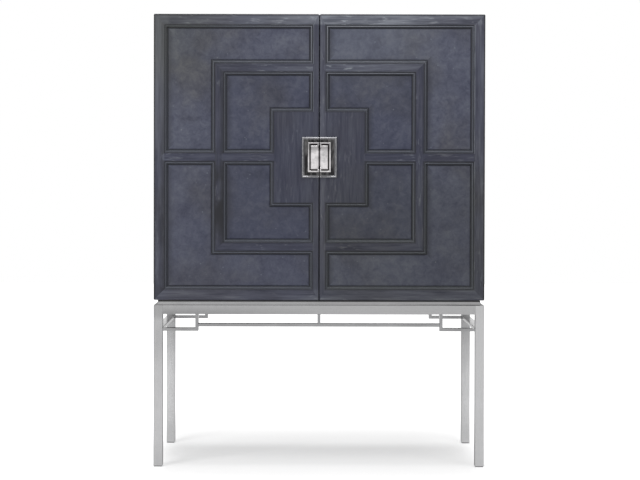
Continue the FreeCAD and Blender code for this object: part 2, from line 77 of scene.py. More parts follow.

# Painted light on the doors, as from a lamp high up, by spans in metres and shares of it: it grows
# from the left, steps up at the right door, fades out to the right, and is full at the top
TOP_LIGHT_GROWS, TOP_LIGHT_GROWN = (-0.5, 0.1), 0.52
TOP_LIGHT_STEP = 0.24
TOP_LIGHT_FADES, TOP_LIGHT_LEFT_OVER = (0.2, 0.5), 0.2
TOP_LIGHT_UP = (1.15, 1.55)

# Darkening along the edges of the strips: how far in, in metres, and how dark, with more of both on
# the left door where an edge faces right, which is painted shade. The facing is read over a small
# step, the probe.
EDGE_DARK_REACH, SHADED_REACH = 0.011, 0.014
EDGE_DARK_SHARE, SHADED_SHARE = 0.4, 0.2
SHADED_ACROSS = (-0.12, 0.02)
FACES_RIGHT, FACES_LEFT = (0.3, 0.9), (-0.3, -0.9)
PROBE = 0.0005

# Spans over which the finish of the doors and the pull changes, and over which painted light and
# shade come over them, in metres
END_STRIPS = (FIELD - 0.004, FIELD + 0.006)
MEETING_BOARD = (-MEET - 0.0025, -MEET + 0.002)
LIT_ARRIS, LIT_ARRIS_UP = (0.0028, 0.0012), (0.8, 1.2)
OUTER_ARRIS_SHADE = (0.0018, 0.0075)
LEATHER_SHADED_LOW, LEATHER_LIT_RIGHT = (1.2, 0.8), (-0.1, 0.1)
BROAD_EDGE_SHADE, NARROW_EDGE_SHADE = (-0.036, -MOULDING), (-MOULDING - 0.005, -MOULDING)
BAIL_SHADE_EDGE = (-0.002, 0.0)
RIM_REFLECTION_EDGE = (PULL_RIM + 0.0032, PULL_RIM + 0.001)
BELOW_RIM = (FACE_Y - 0.0038, FACE_Y - 0.003)

# Heights between which a painted dark reflection comes over the plating, in metres
FRONT_DARK_REFLECTION, BACK_DARK_REFLECTION, RAIL_DARK_REFLECTION = (0.49, 0.515), (0.24, 0.46), (0.547, 0.517)
PULL_DARK_REFLECTION = (1.064, 1.078)

# Scales of the patterns that are drawn out along the grain or the height
FIGURE_SCALE = (26.0, 26.0, 3.2)
STREAK_SCALE = (150.0, 150.0, 9.0)
FLECK_SCALE = (150.0, 150.0, 26.0)
PORE_SCALE = (620.0, 620.0, 20.0)
POLISH_SCALE = (260.0, 260.0, 31.2)
PATINA_SCALE = (90.0, 90.0, 22.0)

# How much of a pattern shows
LIME_SHARE, PORE_SHARE, OAK_PATCH_SHARE = 0.55, 0.3, 0.5
FLECK_SHARE, LEATHER_PATCH_SHARE = 0.5, 0.7

UPRIGHT, LEVEL = "upright", "level"
SHEEN = 0.2
STAND_ROUGHNESS, STAND_RIM = 0.2, 0.3


def srgb(red, green, blue):
    """A colour as it looks on screen, 0 to 255, as the linear colour that a shader takes."""
    def linear(value):
        value /= 255
        return value / 12.92 if value <= 0.04045 else ((value + 0.055) / 1.055) ** 2.4
    return (linear(red), linear(green), linear(blue), 1.0)


def nickel(level):
    """The grey of plated nickel, with a trace of blue."""
    return srgb(level, level, level + 1)


def palette(*colours):
    """Several colours, given as they look on screen."""
    return tuple(srgb(*colour) for colour in colours)


# Tones of each material, from dark to pale
OAK_TONES = palette((55, 57, 70), (76, 78, 91), (95, 98, 109), (125, 129, 138))
FRET_TONES = palette((47, 49, 63), (64, 66, 81), (80, 83, 96), (114, 117, 127))
BLOCK_TONES = palette((49, 51, 66), (63, 65, 79), (74, 77, 90), (98, 101, 112))
INSIDE_TONES = palette((74, 72, 73), (96, 93, 92), (118, 114, 111), (140, 137, 134))
# Of the mouldings' tones, the dark ones also serve as painted shade in the quirk and cove, and the
# palest is a painted highlight on the bead
MOULDING_TONES = palette((41, 42, 47), (57, 59, 66), (65, 68, 76), (88, 91, 100), (136, 139, 146))
OUTER_TONES = palette((60, 62, 78), (78, 81, 96), (95, 98, 110), (130, 136, 144))
INNER_TONES = palette((54, 57, 73), (70, 73, 89), (86, 89, 102), (120, 126, 135))
# The dark of the stains, used also for painted shade along the strips' edges and on the outer arris
GLAZE_AND_SHADE = srgb(34, 34, 37)
# Pale lime tone, shown only in flecks under the painted top light
LIMING_IN_LIGHT = srgb(146, 151, 158)
FADED = srgb(255, 254, 236)
OAK_PATCH = srgb(240, 233, 222)
LEATHER_PATCH = srgb(241, 234, 217)
WHITE = (1.0, 1.0, 1.0, 1.0)


class Graph:
    """A material's nodes, made by short calls that hand back output sockets."""

    def __init__(self, name):
        self.material = bpy.data.materials.new(name)
        self.material.use_nodes = True
        self.tree = self.material.node_tree
        self.surface = self.tree.nodes["Principled BSDF"]
        self.place = self.add("ShaderNodeTexCoord").outputs["Object"]

    @functools.cached_property
    def axes(self):
        return self.add("ShaderNodeSeparateXYZ", {0: self.place}).outputs

    def add(self, kind, inputs=None, **settings):
        node = self.tree.nodes.new(kind)
        for key, value in settings.items():
            setattr(node, key, value)
        for key, value in (inputs or {}).items():
            self.feed(node.inputs[key], value)
        return node

    def feed(self, socket, value):
        if isinstance(value, bpy.types.NodeSocket):
            self.tree.links.new(value, socket)
        else:
            socket.default_value = value

    def finish(self, **inputs):
        for key, value in inputs.items():
            self.feed(self.surface.inputs[key.replace("_", " ")], value)
        return self.material

    def math(self, operation, *values):
        return self.add("ShaderNodeMath", dict(enumerate(values)), operation=operation).outputs[0]

    def chain(self, operation, first, *others):
        for other in others:
            first = self.math(operation, first, other)
        return first

    def product(self, *values):
        return self.chain("MULTIPLY", *values)

    def least(self, *values):
        return self.chain("MINIMUM", *values)

    def most(self, *values):
        return self.chain("MAXIMUM", *values)

    def minus(self, first, second):
        return self.math("SUBTRACT", first, second)

    def scaled(self, value, scale, offset):
        return self.math("MULTIPLY_ADD", value, scale, offset)

    def noise(self, scale, detail=3.0, roughness=0.55, distortion=0.0, place=None):
        """Cloudy noise, drawn out where it is given a scale for each axis."""
        place = self.place if place is None else place
        if isinstance(scale, tuple):
            drawn = self.add("ShaderNodeVectorMath", {0: place, 1: scale}, operation="MULTIPLY")
            place, scale = drawn.outputs[0], 1.0
        inputs = {"Vector": place, "Scale": scale, "Detail": detail}
        inputs |= {"Roughness": roughness, "Distortion": distortion}
        return self.add("ShaderNodeTexNoise", inputs).outputs["Fac"]

    def cells(self, scale, feature="F1"):
        inputs = {"Vector": self.place, "Scale": scale}
        return self.add("ShaderNodeTexVoronoi", inputs, feature=feature).outputs["Distance"]

    def span(self, value, low, high, to_low=0.0, to_high=1.0):
        inputs = {0: value, 1: low, 2: high, 3: to_low, 4: to_high}
        node = self.add("ShaderNodeMapRange", inputs, interpolation_type="SMOOTHSTEP")
        return node.outputs[0]

    def ramp(self, value, *stops):
        node = self.add("ShaderNodeValToRGB", {"Fac": value})
        elements = node.color_ramp.elements
        while len(elements) < len(stops):
            elements.new(0.5)
        for element, (position, colour) in zip(elements, stops):
            element.position = position
            element.color = colour
        return node.outputs["Color"]

    def blend(self, factor, first, second, mode="MIX"):
        inputs = {0: factor, 6: first, 7: second}
        return self.add("ShaderNodeMix", inputs, data_type="RGBA", blend_type=mode).outputs[2]

    def bump(self, height, strength, distance):
        inputs = {"Height": height, "Strength": strength, "Distance": distance}
        return self.add("ShaderNodeBump", inputs).outputs["Normal"]


# Places on the doors
def from_middle(graph, right=0.0):
    """|x|, read a little to the right."""
    x, _, _ = graph.axes
    if right:
        x = graph.math("ADD", x, right)
    return graph.math("ABSOLUTE", x)


def from_door_middle(graph, up=0.0):
    """|z - middle of the door|, read a little above."""
    _, _, z = graph.axes
    return graph.math("ABSOLUTE", graph.minus(z, DOOR_MIDDLE - up))


def inside_box(graph, across, high, half_x, half_z):
    """Distance in from the nearest side of a box about the middle of the doors, below 0 outside."""
    return graph.least(graph.minus(half_x, across), graph.minus(half_z, high))


def zone(graph, spans, share=1.0):
    """0 where a zone of the finish begins, rising to share where it is full."""
    x, _, z = graph.axes
    across, up = spans
    return graph.product(graph.span(x, *across), graph.span(z, *up, 0.0, share))


def into_oak(graph, right=0.0, up=0.0):
    """Distance in from the nearest edge of the door's strips and block, below 0 on its panels."""
    across, high = from_middle(graph, right), from_door_middle(graph, up)
    stiles = graph.most(graph.minus(MEET, across), graph.minus(across, STILE))
    border = graph.most(stiles, graph.minus(high, FIELD))
    past_inner = graph.most(graph.minus(across, RING_IN_X), graph.minus(high, RING_IN))
    ring = graph.least(past_inner, inside_box(graph, across, high, RING_OUT_X, RING_OUT))
    block = inside_box(graph, across, high, BLOCK_X, BLOCK)
    return graph.most(border, graph.minus(CROSS, high), block, ring)


def edge_facing(graph, depth, **probe):
    """How far the nearest of those edges faces the way of the probe, from -1 to 1."""
    return graph.math("DIVIDE", graph.minus(depth, into_oak(graph, **probe)), PROBE)


def in_end_strips(graph):
    """1 on the top and bottom strips of the doors, 0 between them."""
    return graph.span(from_door_middle(graph), *END_STRIPS)


def border_grain(graph):
    """1 on the stiles and 0 on the top and bottom strips, meeting at the mitres."""
    across = from_middle(graph)
    side = graph.minus(HALF_WIDTH, across)
    meeting = graph.product(graph.minus(across, SPLIT), MITRE_SLOPE)
    end = graph.minus(DOOR_HALF, from_door_middle(graph))
    return graph.math("LESS_THAN", graph.least(side, meeting), end)


def ring_grain(graph):
    """1 on the ring's upright and 0 on its level strips and the cross strips."""
    half = (RING_OUT_X - RING_IN_X) / 2
    reach = graph.minus(from_middle(graph), RING_IN_X)
    from_centre = graph.math("ABSOLUTE", graph.minus(reach, half))
    in_ring = graph.math("LESS_THAN", from_centre, half)
    above = graph.minus(from_door_middle(graph), RING_IN)
    return graph.product(in_ring, graph.math("LESS_THAN", above, reach))


# Finish of the doors, with painted light and shade on them
def painted_top_light(graph):
    """How much painted light falls on the door: most near the top, right of the middle."""
    # Painted light: a mask of where the doors are drawn lighter, as if lit from above
    x, _, z = graph.axes
    growing = graph.span(x, *TOP_LIGHT_GROWS, 0.0, TOP_LIGHT_GROWN)
    level = graph.scaled(graph.math("GREATER_THAN", x, 0.0), TOP_LIGHT_STEP, growing)
    fading = graph.span(x, *TOP_LIGHT_FADES, 1.0, TOP_LIGHT_LEFT_OVER)
    return graph.product(level, fading, graph.span(z, *TOP_LIGHT_UP))


def aged(graph, colour):
    """The door's colour with its blue faded in the top left corner and low on the right."""
    faded = graph.most(zone(graph, FADED_CORNER), zone(graph, FADED_LOW, share=0.65))
    return graph.blend(faded, colour, FADED, "MULTIPLY")


def top_lit_level_strips(graph, colour, pale, tone, flecks, uneven, upright):
    """Painted light on the level strips, paler where it falls, and palest in their limed flecks."""
    level = graph.most(graph.minus(1.0, upright), in_end_strips(graph))
    # Painted highlight: the level strips drawn paler where the painted top light falls
    wear_and_light = graph.product(level, painted_top_light(graph))
    grained = graph.span(tone, 0.36, 0.62, to_low=0.4, to_high=1.3)
    colour = graph.blend(graph.product(wear_and_light, grained), colour, pale)
    patchy = graph.span(uneven, 0.42, 0.56, to_low=0.2, to_high=1.5)
    return graph.blend(graph.product(wear_and_light, flecks, patchy), colour, LIMING_IN_LIGHT)


def stained(graph, colour, uneven, upright):
    """The upright strips dark with glaze, in patches: low on the left, on the ring, on the right."""
    on_sides = graph.most(zone(graph, LEFT_STAIN, share=0.26), zone(graph, RIGHT_STAIN, share=0.14))
    on_ring = graph.product(zone(graph, RING_STAIN_TOP), zone(graph, RING_STAIN_FOOT, share=0.3))
    patchy = graph.span(uneven, 0.4, 0.62, to_low=0.4, to_high=1.6)
    settled = graph.product(graph.math("ADD", on_sides, on_ring), patchy)
    if upright is not None:
        settled = graph.product(settled, upright)
    return graph.blend(settled, colour, GLAZE_AND_SHADE)


def darkened_edges(graph, colour, depth, right, uneven):
    """Darkened along the edges, widest where they face right on the left door, which is painted
    shade.
    """
    x, _, _ = graph.axes
    # Painted shade: darker and wider along edges that face right on the left door
    on_left = graph.span(x, *SHADED_ACROSS, to_low=1.0, to_high=0.2)
    shaded = graph.product(graph.span(right, *FACES_RIGHT), on_left)
    reach = graph.scaled(uneven, EDGE_DARK_REACH, graph.product(shaded, SHADED_REACH))
    left = graph.span(graph.minus(1.0, graph.math("DIVIDE", depth, reach)), 0.0, 1.0)
    share = graph.scaled(shaded, SHADED_SHARE, EDGE_DARK_SHARE)
    return graph.blend(graph.product(left, share), colour, GLAZE_AND_SHADE)


def border_marked_and_lit(graph, colour, dark, pale, depth, right, uneven):
    """The border's edges that face left with a painted highlight, its left board pale above, its
    meeting board dark, and painted shade along its outer arris."""
    x, _, z = graph.axes
    # Painted highlight on the arrises of edges that face left
    lit_arris = graph.product(graph.span(right, *FACES_LEFT), graph.span(z, *LIT_ARRIS_UP, to_low=0.2))
    arris = graph.span(depth, *LIT_ARRIS)
    patchy = graph.span(uneven, 0.35, 0.6, to_low=0.4)
    colour = graph.blend(graph.product(arris, patchy, lit_arris), colour, pale)
    colour = graph.blend(zone(graph, PALE_BOARD, share=0.17), colour, pale)
    meeting = graph.span(x, *MEETING_BOARD)
    on_left = graph.math("LESS_THAN", x, 0.0)
    between_ends = graph.scaled(in_end_strips(graph), -0.5, 0.5)
    colour = graph.blend(graph.product(meeting, on_left, between_ends), colour, dark)
    # Painted shade along the door's outer arris
    from_side = graph.minus(HALF_WIDTH, from_middle(graph))
    from_top = graph.minus(DOOR_MIDDLE + DOOR_HALF, z)
    nearest = graph.least(from_side, from_top)
    outer = graph.span(nearest, *OUTER_ARRIS_SHADE, to_low=0.85, to_high=0.0)
    return graph.blend(outer, colour, GLAZE_AND_SHADE)


# Materials
def oak(name, grain, tones, door=False, border=False):
    """Open-pored oak, limed in places. Its grain is UPRIGHT, LEVEL, or a function that says where
    it runs upright."""
    graph = Graph(name)
    dark, middle, light, pale = tones
    run, upright = graph.place, None
    if grain != UPRIGHT:
        x, y, z = graph.axes
        run = graph.add("ShaderNodeCombineXYZ", {0: z, 1: y, 2: x}).outputs[0]
    if callable(grain):
        upright = grain(graph)
        turned = {0: upright, 4: run, 5: graph.place}
        run = graph.add("ShaderNodeMix", turned, data_type="VECTOR").outputs[1]
    figure = graph.noise(FIGURE_SCALE, detail=4.0, roughness=0.6, distortion=1.2, place=run)
    streaks = graph.noise(STREAK_SCALE, roughness=0.6, place=run)
    tone = graph.scaled(streaks, 0.5, graph.product(figure, 0.5))
    colour = graph.ramp(tone, (0.34, dark), (0.5, middle), (0.66, light))
    flecks = graph.noise(FLECK_SCALE, roughness=0.6, distortion=0.35, place=run)
    flecks = graph.span(flecks, 0.55, 0.68)
    limed = graph.span(graph.noise(8.0, detail=2.0), 0.45, 0.62)
    colour = graph.blend(graph.product(flecks, limed, LIME_SHARE), colour, pale)
    pores = graph.span(graph.noise(PORE_SCALE, detail=2.0, roughness=0.5, place=run), 0.56, 0.68)
    colour = graph.blend(graph.product(pores, PORE_SHARE), colour, dark)
    patches = graph.span(graph.noise(4.5, detail=2.0), 0.35, 0.68)
    patches = graph.product(patches, OAK_PATCH_SHARE)
    colour = graph.blend(patches, colour, OAK_PATCH, "MULTIPLY")
    if door:
        depth = into_oak(graph)
        right = edge_facing(graph, depth, right=PROBE)
        uneven = graph.noise(13.0)
        if upright is not None:
            colour = top_lit_level_strips(graph, colour, pale, tone, flecks, uneven, upright)
        colour = stained(graph, colour, uneven, upright)
        colour = darkened_edges(graph, colour, depth, right, uneven)
        if border:
            colour = border_marked_and_lit(graph, colour, dark, pale, depth, right, uneven)
        colour = aged(graph, colour)
    roughness = graph.span(streaks, 0.3, 0.7, to_low=0.4, to_high=0.58)
    relief = graph.minus(graph.product(streaks, 0.5), pores)
    return graph.finish(
        Base_Color=colour, Roughness=roughness, Specular_IOR_Level=SHEEN,
        Normal=graph.bump(relief, strength=0.3, distance=0.0006),
    )


def moulding_oak(name, tones):
    """Oak of the small mouldings: a painted highlight on the bead, palest where the painted top light
    falls;
    painted shade as dark lines in the quirk and along the lip, strongest on edges that face down or
    left, and over the whole moulding where an edge faces right; fine dark specks."""
    graph = Graph(name)
    _, y, _ = graph.axes
    quirk, cove, shoulder, bead, lit_bead = tones
    wear_and_light = graph.noise(42.0, detail=4.0)
    fine = graph.noise(420.0, detail=2.0)
    height = graph.math("DIVIDE", graph.minus(CORE_Y, y), MOULDING_HIGH)
    uneven = graph.scaled(graph.minus(wear_and_light, 0.5), 0.08, height)
    # Painted shade and highlight across the profile: dark lines in the quirk and cove, a pale bead
    shaded_lines = graph.ramp(
        uneven,
        (0.4, quirk), (0.5, cove), (0.68, cove), (0.775, quirk), (0.86, shoulder), (0.97, bead),
    )
    plain = graph.ramp(uneven, (0.5, shoulder), (0.97, bead))
    depth = into_oak(graph)
    right = edge_facing(graph, depth, right=PROBE)
    up = edge_facing(graph, depth, up=PROBE)
    # Painted shade: the dark lines strongest on edges that face down or left
    line_shade = graph.scaled(up, -0.3, graph.scaled(right, -0.2, 0.55))
    colour = graph.blend(line_shade, plain, shaded_lines)
    # Painted shade over the moulding where an edge faces right
    colour = graph.blend(graph.span(right, *FACES_RIGHT, to_high=0.6), colour, cove)
    # Painted highlight on the bead where the painted top light falls
    colour = graph.blend(graph.product(painted_top_light(graph), graph.span(uneven, 0.8, 0.95)), colour, lit_bead)
    colour = graph.blend(graph.span(fine, 0.4, 0.7, to_high=0.35), colour, quirk)
    return graph.finish(
        Base_Color=aged(graph, colour),
        Roughness=graph.span(wear_and_light, 0.3, 0.7, to_low=0.36, to_high=0.52),
        Specular_IOR_Level=SHEEN,
        Normal=graph.bump(fine, strength=0.15, distance=0.0004),
    )


def leather(name, tones, edge_shade):
    """Slate leather: cloudy mottling, pale flecks, pebbled grain, painted shade towards the bottom
    and along its edges, broadest where they face right, and painted light at the top right.
    """
    graph = Graph(name)
    x, _, z = graph.axes
    dark, middle, light, pale = tones
    clouds = graph.noise(11.0, detail=4.0, distortion=0.6)
    mottle = graph.noise(52.0, detail=5.0, roughness=0.74, distortion=0.5)
    tone = graph.scaled(mottle, 0.6, graph.product(clouds, 0.4))
    colour = graph.ramp(tone, (0.33, dark), (0.5, middle), (0.67, light))
    patches = graph.product(graph.span(graph.noise(4.2), 0.44, 0.68), LEATHER_PATCH_SHARE)
    colour = graph.blend(patches, colour, LEATHER_PATCH, "MULTIPLY")
    flecks = graph.span(graph.cells(46.0), 0.14, 0.04)
    some = graph.span(graph.noise(60.0, detail=1.0), 0.5, 0.62)
    colour = graph.blend(graph.product(flecks, some, FLECK_SHARE), colour, pale)
    # Painted shade: darker towards the bottom
    colour = graph.blend(graph.span(z, *LEATHER_SHADED_LOW, to_high=0.2), colour, dark)
    # Painted light at the top right
    on_right = graph.span(x, *LEATHER_LIT_RIGHT, to_high=0.2)
    colour = graph.blend(graph.product(painted_top_light(graph), on_right), colour, pale)
    depth = into_oak(graph)
    right = edge_facing(graph, depth, right=PROBE)
    # Painted shade along the edges, broad where they face right
    near_edge = graph.span(depth, *BROAD_EDGE_SHADE)
    broad = graph.product(near_edge, graph.span(right, *FACES_RIGHT, to_high=0.5))
    narrow = graph.span(depth, *NARROW_EDGE_SHADE, to_high=0.35)
    colour = graph.blend(graph.most(broad, narrow), colour, edge_shade)
    relief = graph.scaled(mottle, 0.6, graph.cells(640.0, "SMOOTH_F1"))
    return graph.finish(
        Base_Color=aged(graph, colour),
        Roughness=graph.span(mottle, 0.3, 0.7, to_low=0.44, to_high=0.62),
        Specular_IOR_Level=SHEEN,
        Normal=graph.bump(relief, strength=0.25, distance=0.0005),
    )


def metal(
    name, low, high, roughness, dark_reflection=None, heights=(0.0, 1.0), bright_reflection=None, rim=1.0, clouds=9.0
):
    """Plated metal with a soft cloud in its finish and fine polishing marks, with a painted dark
    reflection from one height to another and a painted bright reflection up on the right if those
    tones are given.
    Rim is how far it still shines on a face seen edge on."""
    graph = Graph(name)
    marks = graph.noise(POLISH_SCALE)
    colour = graph.ramp(graph.noise(clouds), (0.36, low), (0.64, high))
    # Painted dark reflection between two heights
    if dark_reflection:
        _, _, z = graph.axes
        colour = graph.blend(graph.span(z, *heights), colour, dark_reflection)
    # Painted bright reflection up on the right
    if bright_reflection:
        colour = graph.blend(zone(graph, BRIGHT_REFLECTION_ZONE, share=0.92), colour, bright_reflection)
    return graph.finish(
        Base_Color=colour,
        Metallic=1.0,
        Roughness=graph.span(marks, 0.3, 0.7, roughness * 0.85, roughness * 1.2),
        Specular_Tint=(rim, rim, rim, 1.0),
        Normal=graph.bump(marks, strength=0.02, distance=0.0002),
    )


def pull_nickel(name):
    """Polished nickel, streaked dark with patina in the sunk field, with painted shade black inside
    the bail and a paler painted reflection of the rim beside it."""
    graph = Graph(name)
    _, y, _ = graph.axes
    across, high = from_middle(graph), from_door_middle(graph)
    cloud = graph.noise(70.0)
    bright = graph.ramp(cloud, (0.36, srgb(136, 136, 139)), (0.64, srgb(160, 160, 163)))
    streaks = graph.noise(PATINA_SCALE, detail=2.0)
    sunk = graph.ramp(streaks, (0.44, srgb(44, 44, 45)), (0.76, srgb(112, 111, 111)))
    in_bail = inside_box(graph, across, high, BAIL_X, BAIL_Z)
    # Painted shade: black inside the bail
    sunk = graph.blend(graph.span(in_bail, *BAIL_SHADE_EDGE), sunk, srgb(13, 12, 12))
    in_plate = inside_box(graph, across, high, PULL_X, PULL_Z)
    # Painted reflection of the rim on the field beside it
    rim_reflection = graph.span(in_plate, *RIM_REFLECTION_EDGE, to_high=0.8)
    sunk = graph.blend(rim_reflection, sunk, srgb(124, 124, 127))
    below_rim = graph.span(y, *BELOW_RIM)
    return graph.finish(
        Base_Color=graph.blend(below_rim, bright, sunk),
        Metallic=1.0,
        Roughness=graph.span(cloud, 0.3, 0.7, to_low=0.12, to_high=0.22),
    )


def plastic(name, low, high, roughness):
    """Moulded plastic or rubber with a fine matt texture."""
    graph = Graph(name)
    colour = graph.ramp(graph.noise(30.0, detail=2.0), (0.35, low), (0.65, high))
    matt = graph.bump(graph.noise(900.0, detail=2.0), strength=0.2, distance=0.0002)
    return graph.finish(Base_Color=colour, Roughness=roughness, Normal=matt)


def clear_glass(name):
    """Shelf glass, faintly green, with a trace of haze."""
    graph = Graph(name)
    haze = graph.span(graph.noise(14.0), 0.4, 0.8, to_low=0.02, to_high=0.08)
    drift = graph.noise(4.0, detail=1.0)
    tint = graph.ramp(drift, (0.3, srgb(226, 240, 235)), (0.7, srgb(232, 244, 240)))
    return graph.finish(Base_Color=tint, Roughness=haze, IOR=1.5, Transmission_Weight=1.0)


def silvered(name):
    """Mirror glass with soft clouding."""
    graph = Graph(name)
    cloud = graph.noise(6.0, detail=4.0)
    colour = graph.ramp(cloud, (0.3, srgb(214, 218, 220)), (0.7, srgb(228, 231, 232)))
    clouding = graph.span(cloud, 0.45, 0.8, to_low=0.02, to_high=0.07)
    return graph.finish(Base_Color=colour, Metallic=1.0, Roughness=clouding)


border_oak = oak("border_oak", border_grain, OAK_TONES, door=True, border=True)
ring_oak = oak("ring_oak", ring_grain, FRET_TONES, door=True)
block_oak = oak("block_oak", UPRIGHT, BLOCK_TONES, door=True)
upright_oak = oak("upright_oak", UPRIGHT, OAK_TONES)
level_oak = oak("level_oak", LEVEL, OAK_TONES)
upright_inside = oak("upright_inside_oak", UPRIGHT, INSIDE_TONES)
level_inside = oak("level_inside_oak", LEVEL, INSIDE_TONES)
bead_oak = moulding_oak("bead_oak", MOULDING_TONES)
# The last colour of each leather is its painted edge shade
outer_leather = leather("outer_leather", OUTER_TONES, srgb(44, 45, 51))
inner_leather = leather("inner_leather", INNER_TONES, srgb(42, 43, 49))
tube_nickel = metal(
    "tube_nickel", nickel(174), nickel(183), STAND_ROUGHNESS,
    dark_reflection=nickel(168), heights=FRONT_DARK_REFLECTION, bright_reflection=nickel(200), rim=STAND_RIM,
)
# A paler copy of the leg plating for the back legs: painted light
back_lit_nickel = metal(
    "back_lit_nickel", nickel(188), nickel(196), STAND_ROUGHNESS,
    dark_reflection=nickel(170), heights=BACK_DARK_REFLECTION, rim=STAND_RIM,
)
rail_nickel = metal(
    "rail_nickel", nickel(168), nickel(174), STAND_ROUGHNESS,
    dark_reflection=nickel(151), heights=RAIL_DARK_REFLECTION, bright_reflection=nickel(180), rim=STAND_RIM,
)
fret_nickel = metal("fret_nickel", nickel(154), nickel(164), STAND_ROUGHNESS)
polished_nickel = metal(
    "polished_nickel", srgb(188, 186, 187), srgb(226, 223, 224), 0.14,
    dark_reflection=srgb(164, 162, 163), heights=PULL_DARK_REFLECTION, clouds=48.0,
)
plate_nickel = pull_nickel("plate_nickel")
hinge_steel = metal("hinge_steel", srgb(150, 151, 153), srgb(176, 177, 179), 0.4)
dark_rubber = plastic("dark_rubber", srgb(58, 58, 60), srgb(68, 68, 70), 0.7)
grey_plastic = plastic("grey_plastic", srgb(120, 120, 121), srgb(132, 132, 133), 0.55)
brown_plastic = plastic("brown_plastic", srgb(48, 42, 38), srgb(60, 53, 48), 0.5)
shelf_glass = clear_glass("shelf_glass")
mirror_silver = silvered("mirror_silver")

FRONT_LEGS = [f"leg_front_{side}" for side in SIDES]
BACK_LEGS = [f"leg_back_{side}" for side in SIDES]
RAILS = ["rail_front", "rail_back", "rail_left", "rail_right"]
BARS = [f"side_stretcher_{side}" for side in SIDES] + ["fret_front", "fret_back", "spacer_frame"]
CASE_SIDES = [f"case_side_{side}" for side in SIDES]
CASE_ENDS = ["case_top", "case_bottom"]
BOARDS = ["centre_shelf", "lower_shelf", "shelf_cleats", "bottle_grid_shelves", "stemware_rails"]
MATERIALS = [
    (tube_nickel, FRONT_LEGS),
    (back_lit_nickel, BACK_LEGS),
    (rail_nickel, RAILS),
    (fret_nickel, BARS),
    (hinge_steel, ["mounting_tabs", "case_bolts", "shelf_pins", "hinge_arms"]),
    (brown_plastic, ["door_catches"]),
    (grey_plastic, ["foot_glides"]),
    (dark_rubber, ["reveal_strips"]),
    (upright_oak, CASE_SIDES),
    (level_oak, CASE_ENDS),
    (upright_inside, ["case_back", "lower_divider", "bottle_grid_uprights"]),
    (level_inside, BOARDS),
    (mirror_silver, ["mirror_panel"]),
    (shelf_glass, ["glass_shelf"]),
]
for side in SIDES:
    MATERIALS += [
        (border_oak, [f"door_border_{side}"]),
        (ring_oak, [f"door_fret_{side}"]),
        (block_oak, [f"centre_block_{side}"]),
        (bead_oak, [f"panel_mouldings_{side}"]),
        (upright_oak, [f"door_core_{side}"]),
        (outer_leather, [f"leather_outer_{side}"]),
        (inner_leather, [f"leather_inner_{side}"]),
        (hinge_steel, [f"hinge_pins_{side}", f"strike_plates_{side}"]),
        (plate_nickel, [f"pull_plate_{side}"]),
        (polished_nickel, [f"pull_pad_{side}", f"bail_{side}", f"bail_pins_{side}"]),
    ]
for material, names in MATERIALS:
    for name in names:
        slots = NODES[name].data.materials
        slots.clear()
        slots.append(material)

# Small rounded arrises, by modifiers alone: how wide, in metres, and on which parts
WELD_REACH = 0.00002
ARRIS_SEGMENTS = 2
ARRIS_ANGLE = math.radians(40)
STRIPS = [f"{name}_{side}" for name in ("door_border", "door_fret", "centre_block") for side in SIDES]
ARRISES = [
    (0.0005, FRONT_LEGS + BACK_LEGS + RAILS),
    (0.0012, BARS),
    (0.0007, STRIPS),
    (0.0008, CASE_SIDES + CASE_ENDS + ["centre_shelf", "lower_divider"]),
    (0.0008, [f"bail_{side}" for side in SIDES]),
]
for width, names in ARRISES:
    for name in names:
        weld = NODES[name].modifiers.new("join_edges", "WELD")
        weld.merge_threshold = WELD_REACH
        bevel = NODES[name].modifiers.new("arris", "BEVEL")
        bevel.width = width
        bevel.segments = ARRIS_SEGMENTS
        bevel.limit_method = "ANGLE"
        bevel.angle_limit = ARRIS_ANGLE


def add_piece(name, mesh, material):
    """An object of the scene's own, made from a mesh whose faces are turned outward."""
    bmesh.ops.recalc_face_normals(mesh, faces=mesh.faces)
    data = bpy.data.meshes.new(name)
    mesh.to_mesh(data)
    mesh.free()
    data.materials.append(material)
    piece = bpy.data.objects.new(name, data)
    scene.collection.objects.link(piece)
    return piece


# Leather panels, softly crowned with rolled edges, in metres. The lines of an L-shaped panel above
# the middle of the right door are its near edge, its notch and its far edge, in x and in z.
PANEL_LINES = {
    "outer": ((MEET, RING_OUT_X, STILE), (CROSS, RING_OUT, FIELD)),
    "inner": ((MEET, BLOCK_X, RING_IN_X), (CROSS, BLOCK, RING_IN)),
}
LEATHERS = {"outer": outer_leather, "inner": inner_leather}
EDGE_STEPS = (0.0, 0.0006, 0.0014, 0.0026, 0.0042, 0.007, 0.012, 0.02)
GRID_STEP = 0.024
ROLL = 0.0042
CROWN, CROWN_REACH = 0.0007, 0.05
RIPPLE, RIPPLE_REACH = 0.00012, 0.02
RIPPLE_WAVES = ((31, 17), (-11, 23))


def leather_outline(which):
    """A panel's x and z lines inside its moulding."""
    return [
        (near + MOULDING, notch + MOULDING, far - MOULDING)
        for near, notch, far in PANEL_LINES[which]
    ]


def grid_lines(stops):
    """Lines of a panel's grid along one axis, close together beside the edges."""
    lines = set()
    for low, high in zip(stops, stops[1:]):
        for step in EDGE_STEPS:
            if step < (high - low) / 2:
                lines.add(round(low + step, 6))
                lines.add(round(high - step, 6))
        inner = high - low - 2 * EDGE_STEPS[-1]
        count = max(1, round(inner / GRID_STEP))
        for i in range(1, count):
            lines.add(round(low + EDGE_STEPS[-1] + inner * i / count, 6))
    return sorted(lines)


